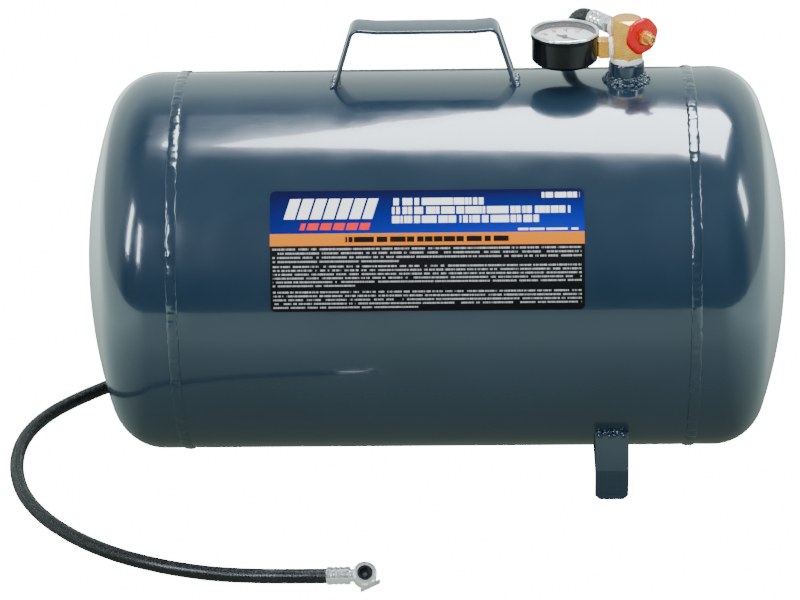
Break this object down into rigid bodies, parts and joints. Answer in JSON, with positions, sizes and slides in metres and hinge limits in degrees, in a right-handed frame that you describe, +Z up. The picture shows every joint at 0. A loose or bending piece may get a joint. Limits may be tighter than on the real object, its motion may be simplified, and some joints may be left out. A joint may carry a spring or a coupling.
{
  "type": "portable air receiver tank",
  "caption": "Horizontal portable air tank with carrying handle, strap feet, a valve manifold with dial gauge, shut-off knob and relief valve, and a rubber hose ending in a tyre chuck.",
  "frame": {"origin": "on the floor under the middle of the tank, without the free hose", "axes": "+X along the tank towards the valve end, -Y towards the labelled front, +Z up"},
  "size_m": [0.64, 0.4641, 0.3744],
  "materials": {
    "tank_paint": "gloss slate blue enamel",
    "label_film": "printed vinyl film",
    "brass": "machined",
    "thread_tape": "white sealing tape",
    "gauge_black": "black enamel",
    "gauge_bezel": "polished",
    "gauge_lens": "clear",
    "gauge_dial": "white dial",
    "pointer_black": "matt black",
    "red_plastic": "moulded red",
    "steel": "zinc plated",
    "rubber": "braided black rubber",
    "chrome": "bright plated"
  },
  "bodies": {
    "tank": {"tank_shell": "tank_paint", "left_head": "tank_paint", "right_head": "tank_paint", "left_seam_weld": "tank_paint", "right_seam_weld": "tank_paint", "shell_seam_weld": "tank_paint", "bung": "tank_paint", "bung_weld": "tank_paint", "handle": "tank_paint", "handle_welds": "tank_paint", "saddle_foot": "tank_paint", "saddle_welds": "tank_paint", "rest_foot": "tank_paint", "rest_welds": "tank_paint", "front_label": "label_film", "manifold_body": "brass", "gauge_socket": "brass", "valve_bonnet": "brass", "relief_body": "brass", "bourdon_tube": "brass", "gauge_movement": "brass", "gauge_link": "brass", "bung_tape": "thread_tape", "gauge_tape": "thread_tape", "outlet_tape": "thread_tape", "gauge_case": "gauge_black", "gauge_bezel": "gauge_bezel", "gauge_lens": "gauge_lens", "gauge_dial": "gauge_dial", "hose": "rubber", "chuck_seal": "rubber", "valve_seal": "rubber", "valve_seat": "rubber", "outlet_fitting": "chrome", "outlet_ferrule": "chrome", "chuck_ferrule": "chrome", "chuck_body": "chrome", "chuck_clip": "chrome"},
    "knob": {"valve_knob": "red_plastic", "knob_nut": "brass", "valve_spindle": "brass", "inlet_core": "brass"},
    "inlet_pin": {"inlet_pin": "steel", "inlet_spring": "steel"},
    "sector": {"gauge_sector": "brass"},
    "pointer": {"gauge_pinion": "brass", "gauge_pointer": "pointer_black"},
    "relief_stem": {"relief_stem": "brass", "relief_spring": "steel"},
    "relief_ring": {"relief_ring": "steel"},
    "chuck_pin": {"chuck_pin": "steel", "chuck_spring": "steel"}
  },
  "joints": [
    {"name": "knob_turn", "type": "hinge", "parent": "tank", "child": "knob", "pos_m": [0.1537, 0, 0.3595], "axis": [0.5878, -0.809, 0], "range_deg": [0, 720]},
    {"name": "inlet_press", "type": "slide", "parent": "knob", "child": "inlet_pin", "axis": [-0.5878, 0.809, 0], "range_m": [0, 0.0012], "stiffness_N_per_m": 400},
    {"name": "sector_turn", "type": "hinge", "parent": "tank", "child": "sector", "pos_m": [0.09592, -0.00607, 0.3455], "axis": [0, 0, 1], "range_deg": [0, 85.7], "stiffness_Nm_per_rad": 0.002},
    {"name": "pointer_turn", "type": "hinge", "parent": "tank", "child": "pointer", "pos_m": [0.10447, -0.00517, 0.3455], "axis": [0, 0, -1], "range_deg": [0, 270]},
    {"name": "relief_pull", "type": "slide", "parent": "tank", "child": "relief_stem", "axis": [0.4067, 0.9135, 0], "range_m": [0, 0.0025], "stiffness_N_per_m": 1500},
    {"name": "ring_swing", "type": "hinge", "parent": "relief_stem", "child": "relief_ring", "pos_m": [0.16753, 0.03106, 0.3439], "axis": [-0.9135, 0.4067, 0], "range_deg": [-80, 40]},
    {"name": "chuck_pin_press", "type": "slide", "parent": "tank", "child": "chuck_pin", "axis": [-0.0599, 0.718, -0.6934], "range_m": [0, 0.0009], "stiffness_N_per_m": 800}
  ],
  "couplings": [
    {"joint": "pointer_turn", "follows": "sector_turn", "ratio": 3.15}
  ]
}
